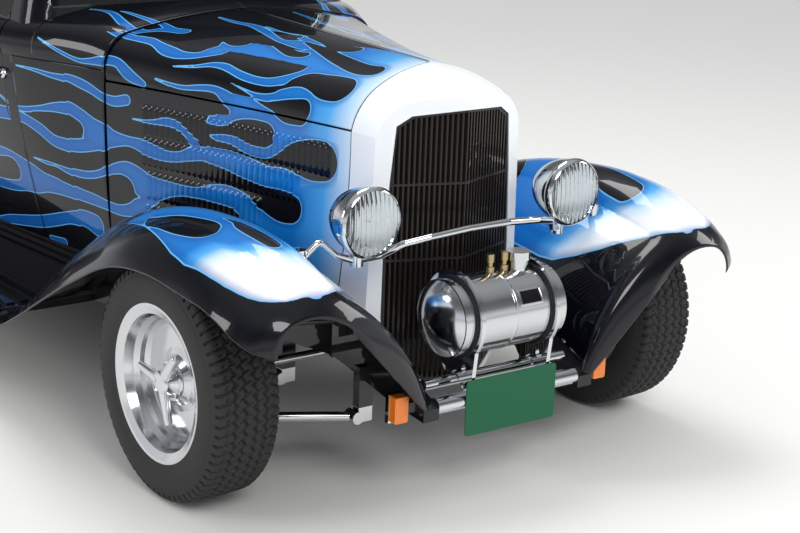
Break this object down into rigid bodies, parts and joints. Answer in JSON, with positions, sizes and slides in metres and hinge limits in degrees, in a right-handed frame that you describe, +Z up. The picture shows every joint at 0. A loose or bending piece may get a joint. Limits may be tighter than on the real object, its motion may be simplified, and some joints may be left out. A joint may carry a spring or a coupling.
{
  "type": "hot rod car",
  "caption": "Chopped hot rod coupe with open grille, free-standing headlamps, front auxiliary tank, pontoon fenders, running boards and rear-hinged doors.",
  "frame": {"origin": "centre of the car's footprint on the ground, midway between its front and rear ends", "axes": "+X to the car's own left, +Y rearward along the car, +Z up"},
  "size_m": [1.684, 3.76, 1.4819],
  "materials": {
    "body_paint": "gloss navy with blue flames",
    "shell_paint": "gloss white fading to blue",
    "frame_paint": "gloss near-black navy",
    "grille_paint": "satin bronze grey",
    "chrome": "polished",
    "rim_metal": "polished",
    "tank_metal": "mirror polished",
    "radiator_metal": "matt black",
    "tyre": "matt black",
    "rubber": "matt black",
    "brass": "polished",
    "window_glass": "tinted clear",
    "lens_glass": "clear",
    "amber_lens": "amber",
    "red_lens": "red",
    "plate_paint": "green",
    "engine_paint": "painted",
    "pipe_steel": "brushed",
    "seat_leather": "black",
    "dash_paint": "satin",
    "wheel_trim": "black"
  },
  "bodies": {
    "chassis": {"cowl": "body_paint", "roof": "body_paint", "rear_body": "body_paint", "fixed_glass": "window_glass", "hood_sides": "body_paint", "radiator_shell": "shell_paint", "grille": "grille_paint", "radiator": "radiator_metal", "frame_rails": "frame_paint", "crossmembers": "frame_paint", "spreader_bars": "chrome", "engine_block": "engine_paint", "front_fenders": "body_paint", "rear_fenders": "body_paint", "running_boards": "frame_paint", "control_arms": "chrome", "rear_axle": "frame_paint", "front_tank": "tank_metal", "tank_liners": "rubber", "tank_brackets": "chrome", "tank_fittings": "brass", "front_plate": "plate_paint", "turn_lamps": "amber_lens", "turn_lamp_mounts": "chrome", "headlamps": "chrome", "headlamp_lenses": "lens_glass", "headlamp_bar": "chrome", "floor_pan": "frame_paint", "dashboard": "dash_paint", "bench_seat": "seat_leather", "steering_wheel": "wheel_trim", "hood_hinge": "chrome", "lid_hinges": "chrome", "exhausts": "pipe_steel", "rear_tank": "frame_paint", "tail_lamps": "chrome", "tail_lenses": "red_lens"},
    "knuckle_left": {"knuckle_left": "frame_paint"},
    "knuckle_right": {"knuckle_right": "frame_paint"},
    "rack": {"steering_rack": "chrome"},
    "wheel_front_left": {"rim_front_left": "rim_metal", "tyre_front_left": "tyre"},
    "wheel_front_right": {"rim_front_right": "rim_metal", "tyre_front_right": "tyre"},
    "wheel_rear_left": {"rim_rear_left": "rim_metal", "tyre_rear_left": "tyre"},
    "wheel_rear_right": {"rim_rear_right": "rim_metal", "tyre_rear_right": "tyre"},
    "door_left": {"door_left": "body_paint", "door_glass_left": "window_glass"},
    "door_right": {"door_right": "body_paint", "door_glass_right": "window_glass"},
    "deck_lid": {"deck_lid": "body_paint"},
    "hood_left": {"hood_left": "body_paint"},
    "hood_right": {"hood_right": "body_paint"}
  },
  "joints": [
    {"name": "steer_left", "type": "hinge", "parent": "chassis", "child": "knuckle_left", "pos_m": [0.64, -1.397, 0.3154], "axis": [0, 0, 1], "range_deg": [-30, 30]},
    {"name": "steer_right", "type": "hinge", "parent": "chassis", "child": "knuckle_right", "pos_m": [-0.64, -1.397, 0.3154], "axis": [0, 0, 1], "range_deg": [-30, 30]},
    {"name": "rack_slide", "type": "slide", "parent": "chassis", "child": "rack", "axis": [1, 0, 0], "range_m": [-0.063, 0.063]},
    {"name": "spin_front_left", "type": "hinge", "parent": "knuckle_left", "child": "wheel_front_left", "pos_m": [0.717, -1.397, 0.3154], "axis": [1, 0, 0], "continuous": true},
    {"name": "spin_front_right", "type": "hinge", "parent": "knuckle_right", "child": "wheel_front_right", "pos_m": [-0.717, -1.397, 0.3154], "axis": [1, 0, 0], "continuous": true},
    {"name": "spin_rear_left", "type": "hinge", "parent": "chassis", "child": "wheel_rear_left", "pos_m": [0.71, 1.295, 0.35], "axis": [1, 0, 0], "continuous": true},
    {"name": "spin_rear_right", "type": "hinge", "parent": "chassis", "child": "wheel_rear_right", "pos_m": [-0.71, 1.295, 0.35], "axis": [1, 0, 0], "continuous": true},
    {"name": "door_left_swing", "type": "hinge", "parent": "chassis", "child": "door_left", "pos_m": [0.668, 0.683, 0.86], "axis": [0, 0, 1], "range_deg": [0, 65]},
    {"name": "door_right_swing", "type": "hinge", "parent": "chassis", "child": "door_right", "pos_m": [-0.668, 0.683, 0.86], "axis": [0, 0, -1], "range_deg": [0, 65]},
    {"name": "deck_lid_lift", "type": "hinge", "parent": "chassis", "child": "deck_lid", "pos_m": [0, 1.165, 1.044], "axis": [1, 0, 0], "range_deg": [0, 55]},
    {"name": "hood_left_lift", "type": "hinge", "parent": "chassis", "child": "hood_left", "pos_m": [0, -1.442, 1.096], "axis": [0, -0.9998, -0.0219], "range_deg": [0, 55]},
    {"name": "hood_right_lift", "type": "hinge", "parent": "chassis", "child": "hood_right", "pos_m": [0, -1.442, 1.096], "axis": [0, 0.9998, 0.0219], "range_deg": [0, 55]}
  ],
  "couplings": [
    {"joint": "steer_right", "follows": "steer_left", "ratio": 1},
    {"joint": "rack_slide", "follows": "steer_left", "m_per_rad": -0.12}
  ]
}
